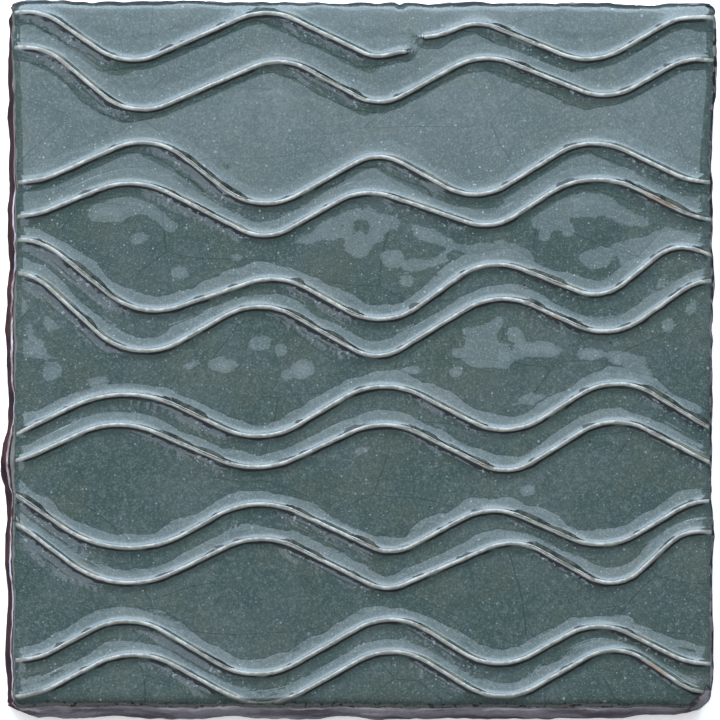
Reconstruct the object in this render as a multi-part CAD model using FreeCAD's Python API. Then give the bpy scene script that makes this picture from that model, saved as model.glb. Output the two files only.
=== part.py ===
import FreeCAD, Part
import math
import os

# A hand-cut glazed wall tile, face up: a square slab of clay with raised wavy lines running
# across its face. Clay and glaze are fired as one piece, so the tile is one solid.
# Millimetres. X runs along the lines, Y up the face, Z out of it; the origin is under the centre.

V = FreeCAD.Vector
UP = V(0, 0, 1)
SAME_POINT = 1e-3

# The slab
FACE_WIDTH = 150.0
FACE_HEIGHT = 150.4
THICKNESS = 14.0
# A hand-cut tile is never quite square: its top sits this far to the right of its bottom
LEAN = 1.1
# The cut sides spread outwards on their way down to the back: how much the left and right
# sides do, and how much the top and bottom sides do
SIDE_FLARE = 0.6
END_FLARE = 1.4
FACE_EDGE_ROUND = 1.0
BACK_EDGE_ROUND = 0.6
# Corner radii: top left, top right, bottom right, bottom left
CORNER_RADII = (2.0, 1.4, 2.6, 2.2)
# The knife clipped the bottom left corner on its way to the back: how much it took off
# along the bottom side and up the left side at the back, and how high up the cut starts
CLIP_ALONG = 7.0
CLIP_UP = 3.0
CLIP_HEIGHT = 10.0

# The raised lines: a rounded crest with straight flanks that slope down to the face
LINE_HEIGHT = 0.9
CREST_RADIUS = 0.85
FLANK_SLOPE = 25.5
# How deep a line's clay is keyed into the slab
LINE_ROOT = 0.8
# A line runs on past the side by this much before it is trimmed
OVERRUN = 12.0
# The lines stop this far inside the edge of the face, with their ends rounded down
LINE_INSET = 0.25
LINE_END_ROUND = 1.2
LINE_HEADROOM = 0.35
# A bend's radius as a share of the widest arc that its two flanks leave room for
BEND_EASE = 0.85

# The keying grooves in the back, which the adhesive grips: wide at the mouth, narrow at the floor
GROOVE_COUNT = 6
GROOVE_PITCH = 22.0
GROOVE_MOUTH = 6.0
GROOVE_FLOOR = 4.0
GROOVE_DEPTH = 1.0
GROOVE_MARGIN = 16.0

# Every line's turning points, from left to right: (right of the middle, above the middle).
# A third number is the bend's own radius, where the line is slacker there than elsewhere.
# The lines lie in pairs that swing together, and no two have quite the same wave. A first or
# last point beyond the side steers the line's last stretch, and the line is trimmed at the side.
LINES = {
    "first_left": [
        (-72.6, 73.4), (-49.6, 63.2), (-20.8, 73.4), (3.2, 64.4), (8.9, 65.4),
    ],
    "first_right": [
        (13.5, 68.7), (24.8, 71.5), (48.2, 64.1), (71.5, 73.0),
    ],
    "second": [
        (-73.0, 65.8), (-47.6, 52.5), (-18.2, 63.0), (3.3, 54.5, 10.0),
        (26.8, 64.1), (51.8, 56.3), (72.6, 64.2),
    ],
    "third": [
        (-73.6, 36.8), (-47.6, 45.4), (-21.2, 32.4), (3.2, 42.6, 10.0),
        (23.8, 34.6), (49.8, 45.8), (74.2, 37.7),
    ],
    "fourth": [
        (-74.6, 29.4), (-50.2, 36.5), (-21.6, 25.5, 11.0), (1.3, 34.8),
        (25.8, 28.0, 12.0), (50.3, 38.0, 19.0), (76.0, 29.6),
    ],
    "fifth": [
        (-75.0, 24.4), (-45.0, 9.2), (-19.9, 16.1), (3.1, 7.6),
        (28.7, 19.5), (49.4, 13.2), (68.6, 23.4), (76.4, 21.9),
    ],
    "sixth": [
        (-77.4, 17.6), (-47.3, 0.5), (-22.5, 10.1), (2.5, -0.3, 10.0),
        (29.8, 12.1), (51.4, 5.2), (76.2, 16.5),
    ],
    "seventh": [
        (-84.0, -19.2), (-51.3, -8.9, 26.0), (-23.2, -17.7), (4.2, -6.9),
        (29.8, -16.1), (54.3, -6.1), (78.6, -15.8),
    ],
    "eighth": [
        (-78.2, -23.3), (-52.8, -15.4), (-23.7, -24.4), (4.1, -15.2),
        (30.0, -24.8, 11.0), (54.0, -14.3), (78.8, -23.4),
    ],
    "ninth": [
        (-79.6, -28.0, 4.0), (-50.8, -41.8, 25.0), (-22.6, -32.3), (5.2, -42.3, 10.0),
        (27.5, -33.5), (50.2, -40.7), (74.8, -31.1),
    ],
    "tenth": [
        (-90.0, -30.3), (-50.8, -49.3, 21.0), (-22.5, -39.8), (4.5, -50.2, 9.0),
        (31.3, -40.5), (52.3, -48.9), (71.8, -37.8),
    ],
    "eleventh": [
        (-74.6, -65.8), (-51.4, -57.5), (-23.6, -68.7), (5.2, -57.0),
        (28.3, -66.3), (50.0, -58.3), (72.6, -66.1),
    ],
    "twelfth": [
        (-75.0, -73.4), (-49.8, -64.7), (-22.4, -74.8), (5.4, -63.9),
        (28.8, -73.3), (53.1, -63.4), (73.4, -72.3),
    ],
}
# The first line breaks off and starts again: the ends that stop on the face, with a round nose
STOPS_ON_FACE = {"first_left": "right", "first_right": "left"}


def corner_points(across, up):
    """The slab's four corners, seen from the face, with its sides moved out by these two lengths."""
    half_w = FACE_WIDTH / 2 + across
    half_h = FACE_HEIGHT / 2 + up
    shift = LEAN * half_h / FACE_HEIGHT
    return [
        V(-half_w + shift, half_h, 0),
        V(half_w + shift, half_h, 0),
        V(half_w - shift, -half_h, 0),
        V(-half_w - shift, -half_h, 0),
    ]


def rounded_outline(corners, radii, z):
    """A closed wire at height z through the corners, each one an arc of its own radius."""
    tangents = []
    for i, corner in enumerate(corners):
        back = (corners[i - 1] - corner).normalize()
        ahead = (corners[(i + 1) % 4] - corner).normalize()
        half = back.getAngle(ahead) / 2
        run = radii[i] / math.tan(half)
        middle = (back + ahead).normalize()
        centre = corner + middle * (radii[i] / math.sin(half))
        tangents.append((corner + back * run, centre - middle * radii[i], corner + ahead * run))
    lift = V(0, 0, z)
    edges = []
    for i, (start, crown, end) in enumerate(tangents):
        edges.append(Part.Arc(start + lift, crown + lift, end + lift).toShape())
        edges.append(Part.LineSegment(end + lift, tangents[(i + 1) % 4][0] + lift).toShape())
    return Part.Wire(edges)


def edges_at(shape, z):
    """The shape's edges that lie wholly at one height."""
    boxes = [(edge, edge.BoundBox) for edge in shape.Edges]
    return [edge for edge, box in boxes if abs(box.ZMin - z) < SAME_POINT and abs(box.ZMax - z) < SAME_POINT]


def upright_at(body, corner):
    """The one edge that climbs from this corner of the back to the face."""
    for edge in body.Edges:
        ends = [vertex.Point for vertex in edge.Vertexes]
        climbs = abs(ends[0].z - ends[-1].z) > THICKNESS / 2
        if climbs and any(end.isEqual(corner, SAME_POINT) for end in ends):
            return edge


def corner_clip(back_corner, face_corner):
    """The sliver that the knife took off one corner: a corner pyramid, deepest at the back."""
    along = back_corner + V(CLIP_ALONG, 0, 0)
    up = back_corner + V(0, CLIP_UP, 0)
    high = back_corner + (face_corner - back_corner) * (CLIP_HEIGHT / THICKNESS)
    away = (back_corner - (along + up) / 2).normalize() * CLIP_ALONG
    far = [point + away for point in (along, up, high)]
    near = [along, up, high]
    faces = [near, far]
    for i in range(3):
        faces.append([near[i - 1], near[i], far[i], far[i - 1]])
    return Part.Solid(Part.Shell([Part.Face(Part.makePolygon(ring + ring[:1])) for ring in faces]))


def slab():
    """The clay slab: four flared sides, eased edges and corners that all differ."""
    back = corner_points(SIDE_FLARE, END_FLARE)
    face = [corner + V(0, 0, THICKNESS) for corner in corner_points(0, 0)]
    rings = [back, face]
    for i in range(4):
        rings.append([back[i - 1], back[i], face[i], face[i - 1]])
    sides = [Part.Face(Part.makePolygon(ring + ring[:1])) for ring in rings]
    body = Part.Solid(Part.Shell(sides))
    for corner, radius in zip(back, CORNER_RADII):
        body = body.makeFillet(radius, [upright_at(body, corner)])
    body = body.cut(corner_clip(back[3], face[3]))
    body = body.makeFillet(FACE_EDGE_ROUND, edges_at(body, THICKNESS))
    return body.makeFillet(BACK_EDGE_ROUND, edges_at(body, 0))


def line_limit():
    """The room that the raised lines may fill, which rounds their ends down at the cut edge."""
    foot = THICKNESS - 2 * LINE_ROOT
    outline = rounded_outline(corner_points(-LINE_INSET, -LINE_INSET), CORNER_RADII, foot)
    block = Part.Face(outline).extrude(V(0, 0, 2 * LINE_ROOT + LINE_HEIGHT + LINE_HEADROOM))
    return block.makeFillet(LINE_END_ROUND, edges_at(block, block.BoundBox.ZMax))


def bend_radii(points):
    """Each turning point's radius: its own where it has one, or what both its flanks allow."""
    radii = []
    for i, point in enumerate(points):
        room = []
        for beside in points[max(i - 1, 0):i] + points[i + 1:i + 2]:
            run = abs(beside[0] - point[0])
            rise = abs(beside[1] - point[1])
            room.append((run ** 2 + rise ** 2) / (4 * rise))
        radii.append(point[2] if len(point) == 3 else BEND_EASE * min(room))
    return radii


def wave_edges(points):
    """The middle of a line, level: an arc at each turning point and straights that touch them."""
    radii = bend_radii(points)
    turns = [V(point[0], point[1], 0) for point in points]
    # +1 where the line turns left, at a trough, and -1 where it turns right, at a crest
    neighbours = turns[1:2] + turns[:-1]
    sides = [1 if turn.y < beside.y else -1 for turn, beside in zip(turns, neighbours)]
    centres = [turn + V(0, side * radius, 0) for turn, side, radius in zip(turns, sides, radii)]
    # The line's heading before, between and after its bends; each straight crosses over
    # from the outside of one bend's circle to the inside of the next one's
    headings = [0.0]
    for i in range(len(turns) - 1):
        across = centres[i + 1] - centres[i]
        lean = math.asin((radii[i] + radii[i + 1]) / across.Length)
        headings.append(math.atan2(across.y, across.x) + sides[i] * lean)
    headings.append(0.0)

    def on_bend(i, heading):
        return centres[i] + V(math.sin(heading), -math.cos(heading), 0) * (sides[i] * radii[i])

    edges = []
    for i in range(len(turns)):
        start = on_bend(i, headings[i])
        crown = on_bend(i, (headings[i] + headings[i + 1]) / 2)
        end = on_bend(i, headings[i + 1])
        if edges:
            edges.append(Part.LineSegment(straight_from, start).toShape())
        edges.append(Part.Arc(start, crown, end).toShape())
        straight_from = end
    return edges


def on_crest(angle):
    """The point of a line's rounded crest that leans this far from its top, in the plane x = 0."""
    height = THICKNESS + LINE_HEIGHT - CREST_RADIUS * (1 - math.cos(angle))
    return V(0, CREST_RADIUS * math.sin(angle), height)


def section_points():
    """Half a line's section, in the plane x = 0: its top, its shoulder, its toe and its root."""
    slope = math.radians(FLANK_SLOPE)
    shoulder = on_crest(slope)
    toe = V(0, shoulder.y + (shoulder.z - THICKNESS) / math.tan(slope), THICKNESS)
    return on_crest(0), shoulder, toe, toe - V(0, 0, LINE_ROOT)


def line_section():
    """The closed section of a raised line."""
    top, *side = section_points()
    far_side = [V(0, -point.y, point.z) for point in side]
    crest = Part.Arc(side[0], top, far_side[0]).toShape()
    return Part.Wire([crest] + Part.makePolygon(far_side + side[::-1]).Edges)


def line_nose(at):
    """The rounded end of a line that stops on the face: half its section, turned about its middle."""
    top, shoulder, toe, root = section_points()
    crest = Part.Arc(top, on_crest(math.radians(FLANK_SLOPE) / 2), shoulder).toShape()
    rest = Part.makePolygon([shoulder, toe, root, V(0, 0, root.z), top])
    nose = Part.Face(Part.Wire([crest] + rest.Edges)).revolve(V(0, 0, 0), UP, 360)
    nose.translate(V(at.x, at.y, 0))
    return nose


def raised_line(points, stop):
    """One raised line: its section swept along its waves, past the sides or up to a round nose."""
    edges = wave_edges(points)
    first = V(points[0][0], points[0][1], 0)
    last = V(points[-1][0], points[-1][1], 0)
    beyond = FACE_WIDTH / 2 + OVERRUN
    if stop != "left" and first.x > -beyond:
        edges.insert(0, Part.LineSegment(V(-beyond, first.y, 0), first).toShape())
    if stop != "right" and last.x < beyond:
        edges.append(Part.LineSegment(last, V(beyond, last.y, 0)).toShape())
    spine = Part.Wire(edges)
    section = line_section()
    section.translate(spine.OrderedVertexes[0].Point)
    sweep = Part.BRepOffsetAPI.MakePipeShell(spine)
    sweep.setBiNormalMode(UP)
    sweep.add(section)
    sweep.build()
    sweep.makeSolid()
    line = sweep.shape()
    if stop:
        line = line.fuse(line_nose(first if stop == "left" else last))
    return line


def keying_grooves():
    """Sloping-sided grooves across the back, which stop short of the cut sides."""
    reach = FACE_WIDTH / 2 - GROOVE_MARGIN
    slope = (GROOVE_MOUTH - GROOVE_FLOOR) / 2
    grooves = []
    for i in range(GROOVE_COUNT):
        y = (i - (GROOVE_COUNT - 1) / 2) * GROOVE_PITCH
        mouth = Part.makePolygon(rectangle(reach, GROOVE_MOUTH / 2, y, 0))
        floor = Part.makePolygon(rectangle(reach - slope, GROOVE_FLOOR / 2, y, GROOVE_DEPTH))
        grooves.append(Part.makeLoft([mouth, floor], True, True))
    return grooves


def rectangle(half_x, half_y, y, z):
    """The corners of a level rectangle about x = 0, closed."""
    low, high = y - half_y, y + half_y
    corners = [V(-half_x, low, z), V(half_x, low, z), V(half_x, high, z), V(-half_x, high, z)]
    return corners + corners[:1]


def tile():
    """The whole tile as one fired piece."""
    body = slab().cut(keying_grooves())
    limit = line_limit()
    raised = []
    for name, points in LINES.items():
        raised.append(raised_line(points, STOPS_ON_FACE.get(name)).common(limit))
    return body.fuse(raised).removeSplitter()


def main():
    os.makedirs("parts", exist_ok=True)
    shape = tile()
    solid = shape.Solids[0]
    box = solid.BoundBox
    print("solids", len(shape.Solids), "valid", solid.isValid(), "faces", len(solid.Faces))
    print("size", round(box.XLength, 2), round(box.YLength, 2), round(box.ZLength, 2))
    solid.exportStep("parts/glazed_tile.step")


main()
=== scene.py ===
# %% [markdown]
# # A crackle glazed relief tile
# The real object is a hand-cut clay slab with raised wavy lines, dipped in a glossy green-grey
# glaze and fired. Clay, lines and glaze are one piece, so one mesh stands for the whole tile.
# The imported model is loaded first: it is the fixed frame that the mesh is fitted to.

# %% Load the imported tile
import math

import bmesh
import bpy
import numpy as np
from mathutils import Matrix, Vector, noise


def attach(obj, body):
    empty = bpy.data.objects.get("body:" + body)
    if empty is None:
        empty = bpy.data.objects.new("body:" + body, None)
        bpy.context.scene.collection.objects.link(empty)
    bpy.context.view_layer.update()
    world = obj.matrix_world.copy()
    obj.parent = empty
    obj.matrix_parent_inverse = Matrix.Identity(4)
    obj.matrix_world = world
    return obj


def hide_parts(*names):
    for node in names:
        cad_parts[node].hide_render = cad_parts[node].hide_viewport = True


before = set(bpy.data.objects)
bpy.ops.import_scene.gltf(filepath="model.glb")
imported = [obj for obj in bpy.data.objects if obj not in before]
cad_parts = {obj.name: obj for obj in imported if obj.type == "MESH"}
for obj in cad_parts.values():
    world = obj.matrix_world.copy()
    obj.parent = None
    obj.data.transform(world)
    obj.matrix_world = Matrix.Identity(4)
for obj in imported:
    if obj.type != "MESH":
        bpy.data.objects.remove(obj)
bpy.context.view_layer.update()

# %% [markdown]
# ## Sizes
# These repeat the sizes of the solid, in millimetres, so that the mesh lies where the solid
# does. X runs along the lines, Y up the face and Z out of it, and the back is at Z = 0.

# %% The slab's sizes
MM = 0.001
FACE_WIDTH = 150.0
FACE_HEIGHT = 150.4
THICKNESS = 14.0
LEAN = 1.1
SIDE_FLARE = 0.6
END_FLARE = 1.4
CORNER_RADII = {"top_left": 2.0, "top_right": 1.4, "bottom_right": 2.6, "bottom_left": 2.2}
HALF_W = FACE_WIDTH / 2
HALF_H = FACE_HEIGHT / 2
SHEAR = LEAN / FACE_HEIGHT
print("face", FACE_WIDTH, "x", FACE_HEIGHT, "mm, leaning", round(SHEAR, 4))

# %% [markdown]
# ## The course of each raised line
# The potter drew the lines freehand, in pairs that swing together. Each is a run of bends
# joined by straights. One way to draw them is a spline through the turning points, but a
# spline bulges between its points. Arcs and straights that touch keep the calm look of the
# real lines, so the course is built from those, as the solid's is.

# %% The turning points of the thirteen lines
LINES = {
    "first_left": [
        (-72.6, 73.4), (-49.6, 63.2), (-20.8, 73.4), (3.2, 64.4), (8.9, 65.4),
    ],
    "first_right": [
        (13.5, 68.7), (24.8, 71.5), (48.2, 64.1), (71.5, 73.0),
    ],
    "second": [
        (-73.0, 65.8), (-47.6, 52.5), (-18.2, 63.0), (3.3, 54.5, 10.0),
        (26.8, 64.1), (51.8, 56.3), (72.6, 64.2),
    ],
    "third": [
        (-73.6, 36.8), (-47.6, 45.4), (-21.2, 32.4), (3.2, 42.6, 10.0),
        (23.8, 34.6), (49.8, 45.8), (74.2, 37.7),
    ],
    "fourth": [
        (-74.6, 29.4), (-50.2, 36.5), (-21.6, 25.5, 11.0), (1.3, 34.8),
        (25.8, 28.0, 12.0), (50.3, 38.0, 19.0), (76.0, 29.6),
    ],
    "fifth": [
        (-75.0, 24.4), (-45.0, 9.2), (-19.9, 16.1), (3.1, 7.6),
        (28.7, 19.5), (49.4, 13.2), (68.6, 23.4), (76.4, 21.9),
    ],
    "sixth": [
        (-77.4, 17.6), (-47.3, 0.5), (-22.5, 10.1), (2.5, -0.3, 10.0),
        (29.8, 12.1), (51.4, 5.2), (76.2, 16.5),
    ],
    "seventh": [
        (-84.0, -19.2), (-51.3, -8.9, 26.0), (-23.2, -17.7), (4.2, -6.9),
        (29.8, -16.1), (54.3, -6.1), (78.6, -15.8),
    ],
    "eighth": [
        (-78.2, -23.3), (-52.8, -15.4), (-23.7, -24.4), (4.1, -15.2),
        (30.0, -24.8, 11.0), (54.0, -14.3), (78.8, -23.4),
    ],
    "ninth": [
        (-79.6, -28.0, 4.0), (-50.8, -41.8, 25.0), (-22.6, -32.3), (5.2, -42.3, 10.0),
        (27.5, -33.5), (50.2, -40.7), (74.8, -31.1),
    ],
    "tenth": [
        (-90.0, -30.3), (-50.8, -49.3, 21.0), (-22.5, -39.8), (4.5, -50.2, 9.0),
        (31.3, -40.5), (52.3, -48.9), (71.8, -37.8),
    ],
    "eleventh": [
        (-74.6, -65.8), (-51.4, -57.5), (-23.6, -68.7), (5.2, -57.0),
        (28.3, -66.3), (50.0, -58.3), (72.6, -66.1),
    ],
    "twelfth": [
        (-75.0, -73.4), (-49.8, -64.7), (-22.4, -74.8), (5.4, -63.9),
        (28.8, -73.3), (53.1, -63.4), (73.4, -72.3),
    ],
}
STOPS_ON_FACE = {"first_left": "right", "first_right": "left"}
BEND_EASE = 0.85
BEND_STEPS = 14
OVERRUN = 12.0


# %% Arcs and straights through the turning points
def bend_radii(points):
    """Each bend's radius: its own, or a share of what its two flanks leave room for."""
    radii = []
    for i, point in enumerate(points):
        room = []
        for beside in points[max(i - 1, 0):i] + points[i + 1:i + 2]:
            run = abs(beside[0] - point[0])
            rise = abs(beside[1] - point[1])
            room.append((run ** 2 + rise ** 2) / (4 * rise))
        radii.append(point[2] if len(point) == 3 else BEND_EASE * min(room))
    return radii


def course(points, stop):
    """A line's middle from left to right, as points on its bends; straights join the bends."""
    radii = bend_radii(points)
    turns = [np.array(point[:2]) for point in points]
    neighbours = turns[1:2] + turns[:-1]
    sides = [1 if turn[1] < beside[1] else -1 for turn, beside in zip(turns, neighbours)]
    centres = [turn + (0, side * radius) for turn, side, radius in zip(turns, sides, radii)]
    headings = [0.0]
    for i in range(len(turns) - 1):
        across = centres[i + 1] - centres[i]
        lean = math.asin((radii[i] + radii[i + 1]) / np.hypot(*across))
        headings.append(math.atan2(across[1], across[0]) + sides[i] * lean)
    headings.append(0.0)
    path = []
    for i, centre in enumerate(centres):
        for heading in np.linspace(headings[i], headings[i + 1], BEND_STEPS):
            spoke = np.array((math.sin(heading), -math.cos(heading)))
            path.append(centre + spoke * sides[i] * radii[i])
    if stop != "left":
        path.insert(0, np.array((-HALF_W - OVERRUN, turns[0][1])))
    if stop != "right":
        path.append(np.array((HALF_W + OVERRUN, turns[-1][1])))
    path = np.array(path)
    return path[np.argsort(path[:, 0], kind="stable")]


COURSES = {name: course(points, STOPS_ON_FACE.get(name)) for name, points in LINES.items()}
print(len(COURSES), "lines, the second one has", len(COURSES["second"]), "points")

# %% [markdown]
# ## A grid that follows the lines
# A plain grid would cut across the narrow crests and give them teeth. So the grid's rows are
# bent to run along the lines: eight rows on each side of a crest, close together at the
# crest and wider at its foot, and evenly spread rows on the open face between the lines.

# %% Where the columns stand
COLUMNS = 266
SIDE_STEPS = (0.0, 0.16, 0.36, 0.62, 0.95, 1.4, 2.0, 2.8)
inner = np.linspace(-HALF_W + SIDE_STEPS[-1], HALF_W - SIDE_STEPS[-1], COLUMNS + 3 - 2 * len(SIDE_STEPS))
left_steps = -HALF_W + np.array(SIDE_STEPS[:-1])
column_x = np.concatenate((left_steps, inner, -left_steps[::-1]))
print(len(column_x), "columns,", round(inner[1] - inner[0], 2), "mm apart")


# %% Height of each row of lines over each column
def joined(first, second):
    """Two courses as one, for the row of lines that breaks off and starts again."""
    return np.concatenate((COURSES[first], COURSES[second]))


ROWS_OF_LINES = [joined("first_left", "first_right")] + list(COURSES.values())[2:]


def over_columns(path):
    """The line's height at every column, and the cosine of its slope there."""
    y = np.interp(column_x, path[:, 0], path[:, 1])
    for _ in range(2):
        y = np.interp(column_x + SHEAR * y, path[:, 0], path[:, 1])
    slope = np.gradient(y, column_x)
    return y, 1 / np.sqrt(1 + slope ** 2)


# %% Stack the rows from the top edge to the bottom edge
CREST_STEPS = np.array((0.17, 0.35, 0.55, 0.78, 1.06, 1.4, 1.85, 2.4))
RIM_STEPS = np.array((0.16, 0.36, 0.62, 0.95, 1.4, 2.0, 2.8))
ROWS_BETWEEN = (2, 2, 12, 1, 23, 1, 22, 1, 8, 1, 8, 1, 1)
ROOM_SHARE = 0.46

heights = [(np.full(len(column_x), HALF_H), 1.0, RIM_STEPS)]
heights += [over_columns(path) + (CREST_STEPS,) for path in ROWS_OF_LINES]
heights += [(np.full(len(column_x), -HALF_H), 1.0, RIM_STEPS)]
rows = [heights[0][0]]
for (upper, upper_cos, upper_steps), (lower, lower_cos, lower_steps), count in zip(
        heights, heights[1:], ROWS_BETWEEN):
    room = upper - lower
    below = np.minimum(upper_steps[-1] / upper_cos, ROOM_SHARE * room)
    above = np.minimum(lower_steps[-1] / lower_cos, ROOM_SHARE * room)
    rows += [upper - below * step / upper_steps[-1] for step in upper_steps]
    foot, head = upper - below, lower + above
    rows += [foot + (head - foot) * (i + 1) / (count + 1) for i in range(count)]
    rows += [lower + above * step / lower_steps[-1] for step in lower_steps[::-1]]
    rows.append(lower)
row_y = np.array(rows)[::-1]
print(row_y.shape[0], "rows by", row_y.shape[1], "columns")

# %% [markdown]
# ## Shape of the face
# The relief has three parts: a narrow crest, a hollow foot where the melted glaze climbed up
# the line like water on a glass, and the face itself, which a hand pressed into its mould
# and left a little uneven. The rim rolls over towards the cut sides. All of it is a height
# over the flat face, so one function can give it for every point of the grid.

# %% How high each line stands
LINE_HEIGHT = 0.66
CREST_ROUND = 0.46
FOOT_FALL = 0.52
FOOT_REACH = 2.2


def along_line(name, x, y):
    """Signed distance from the line in mm, plus above it and minus below, and its heading."""
    path = COURSES[name]
    middle = np.interp(x, path[:, 0], path[:, 1])
    slope = (np.interp(x + 0.2, path[:, 0], path[:, 1]) - np.interp(x - 0.2, path[:, 0], path[:, 1])) / 0.4
    cosine = 1 / np.sqrt(1 + slope ** 2)
    gap = (y - middle) * cosine
    stop = STOPS_ON_FACE.get(name)
    if stop:
        end = path[-1] if stop == "right" else path[0]
        past = np.maximum((x - end[0]) * (1 if stop == "right" else -1), 0)
        gap = np.where(past > 0, np.copysign(np.hypot(gap, past), gap), gap)
    return gap, slope * cosine


def line_profile(gap, lean):
    """Height beside a line: a small round top on a hollow foot, longer below a falling flank."""
    long_foot = (gap < 0) * np.clip((0.05 - lean) / 0.35, 0, 1)
    fall = FOOT_FALL * (1 + 0.9 * long_foot)
    reach = FOOT_REACH * (1 + 0.7 * long_foot)
    far = np.hypot(gap, CREST_ROUND) - CREST_ROUND
    end = np.exp(-(reach - CREST_ROUND) / fall)
    return LINE_HEIGHT * np.clip(np.exp(-far / fall) - end, 0, 1) / (1 - end)


print("a line stands", round(float(line_profile(np.array(0.0), 0.0)), 2), "mm high")

# %% Places where the hand-pressed face tips
# Each is (right of the middle, above the middle, half length, half width, turn in degrees).
# The tipped back ones catch the softbox, the tipped forward ones miss it, and the level ones
# are holes in the first.
TIPPED_BACK = [
    (-54.4, 30.2, 4.8, 1.9, 0), (-48.2, 31.4, 3.4, 1.2, -12), (-44.1, 29.2, 3.0, 0.9, -40),
    (-41.4, 27.1, 1.2, 0.9, 0), (-48.3, 24.6, 1.6, 0.8, 0), (-39.9, 17.4, 1.6, 1.3, 0),
    (-27.8, 20.9, 1.1, 0.6, 0), (-11.1, 25.0, 3.2, 1.0, 12), (-6.3, 27.2, 4.0, 2.4, 20),
    (-1.4, 30.2, 3.8, 1.2, 0), (-1.6, 23.3, 2.8, 2.4, 0), (4.5, 28.5, 3.6, 1.9, -8),
    (2.0, 26.1, 1.7, 2.0, 0), (14.1, 25.9, 4.3, 1.5, -22), (18.4, 23.8, 3.4, 1.5, -25),
    (24.8, 22.5, 3.9, 1.8, 0), (30.2, 22.7, 3.6, 1.8, 0), (34.1, 21.6, 2.2, 1.3, -30),
    (6.0, 20.6, 2.2, 1.7, 0), (12.2, 19.3, 4.2, 1.0, 5), (17.0, 21.1, 2.7, 1.1, 35),
    (18.9, 17.7, 2.6, 2.2, 45), (9.4, 15.8, 1.3, 1.1, 0), (47.3, 32.1, 6.7, 2.3, 0),
    (55.9, 30.2, 5.5, 1.9, -22), (40.1, 29.7, 3.6, 2.9, 20), (43.6, 27.3, 1.5, 1.8, 0),
    (39.1, 25.6, 1.3, 1.1, 0), (50.4, 21.1, 3.8, 2.3, 12), (56.9, 23.7, 5.3, 1.6, 15),
    (66.5, 25.6, 6.5, 2.2, -3), (57.8, 21.1, 3.8, 2.1, 30), (28.1, 6.7, 1.0, 2.0, -20),
    (23.7, 5.4, 3.4, 0.9, 15), (25.2, 2.4, 3.6, 3.6, 0), (21.3, 0.2, 2.4, 0.9, 0),
    (26.6, -1.2, 5.3, 2.1, -3), (32.9, 3.3, 1.8, 2.9, 20), (36.9, 1.2, 5.0, 1.5, -6),
    (30.5, 0.0, 3.3, 1.9, 0), (48.5, 0.2, 2.9, 1.2, 0), (56.4, -0.8, 4.3, 1.8, -6),
    (58.3, -3.9, 2.9, 2.4, 0), (10.1, -3.4, 1.9, 0.8, 0), (19.4, -3.8, 1.3, 0.9, 0),
    (65.4, 6.3, 1.4, 1.1, 0), (70.4, 10.4, 1.1, 0.9, 0), (63.1, 16.5, 3.6, 1.1, 42),
    (-67.3, 6.3, 1.8, 1.5, 0), (-73.4, 9.8, 1.1, 1.8, 0), (-72.4, 5.0, 2.2, 0.8, 0),
    (-71.4, 0.7, 2.6, 1.9, 0), (-67.8, -0.9, 2.4, 0.7, -5), (-67.3, -4.1, 2.4, 1.4, 22),
    (-57.3, -6.1, 2.0, 0.8, 0), (-22.6, 2.0, 2.0, 1.3, 15), (-18.0, 0.5, 1.0, 0.9, 0),
    (-37.3, -2.4, 1.8, 0.7, 0), (-30.5, -2.7, 3.4, 1.1, -4), (-16.7, -4.6, 1.5, 0.9, 0),
    (-13.4, -3.2, 2.2, 2.0, 30), (-2.0, -20.5, 3.0, 1.1, 0), (34.9, -29.1, 1.6, 1.2, 0),
    (34.9, -9.8, 4.7, 1.1, 15),
]
TIPPED_FORWARD = [
    (-28.9, 40.3, 3.7, 1.5, -8), (-17.7, 37.5, 1.8, 0.9, 0), (15.6, 42.2, 1.8, 1.0, 0),
    (58.2, 37.7, 1.4, 1.0, 0),
]
LEVEL = [
    (-49.3, 29.2, 2.0, 0.9, 0), (-0.5, 26.9, 2.4, 1.2, 0), (19.4, 21.6, 1.1, 0.8, 0),
    (60.2, 26.6, 4.5, 0.8, 14), (31.4, 2.4, 1.7, 1.0, 0), (62.0, 15.6, 1.0, 0.6, 40),
]


def inside_any(places, x, y):
    """1 at the middle of the nearest of these oval places, 0 on its border, below 0 outside."""
    best = np.full_like(x, -9.0)
    for cx, cy, half_long, half_wide, turn in places:
        cosine, sine = math.cos(math.radians(turn)), math.sin(math.radians(turn))
        along = (x - cx) * cosine + (y - cy) * sine
        across = (y - cy) * cosine - (x - cx) * sine
        best = np.maximum(best, 1 - (along / half_long) ** 2 - (across / half_wide) ** 2)
    return best


def soft_step(value, low, high):
    """0 below low, 1 above high and a soft step between them."""
    share = np.clip((value - low) / (high - low), 0, 1)
    return share * share * (3 - 2 * share)


def rippled(points, size, seed):
    """Smooth noise between about -1 and 1 at each point, with humps of this size in mm."""
    offset = Vector((17.3 * seed, 5.1 * seed, 2.7 * seed))
    return np.array([noise.noise(Vector(p) / size + offset) for p in points])


print(len(TIPPED_BACK), "places tip back,", len(TIPPED_FORWARD), "tip forward")

# %% [markdown]
# ## Edges cut by hand
# The clay was cut with a knife and the glaze softened the cut, so no edge is straight. The
# outline wanders by about a millimetre, a few chips are knocked out of the top edge, and
# the bottom right corner was left as a soft lump of bare clay. Noise alone could make the
# wandering, but the chips and the places that stand out most have places of their own.

# %% Wandering outline and chips
ROLL_WIDTH = 2.8
ROLL_DEPTH = 0.56
BROW_DEPTH = 0.60
SAG_WIDTH = 5.5
SAG_DEPTH = 0.05
# Each chip is (right of the middle, above the middle, size)
CHIPS = [
    (8.4, 75.2, 1.0), (42.3, 75.6, 0.6), (59.6, 75.6, 0.7), (63.9, 75.6, 0.7), (75.6, 73.4, 0.5),
]


def wander(points, seed):
    """How far the cut outline strays outwards at each point, in mm."""
    return 0.42 * rippled(points, 9.0, seed) + 0.30 * rippled(points, 3.6, seed + 1)


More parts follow.
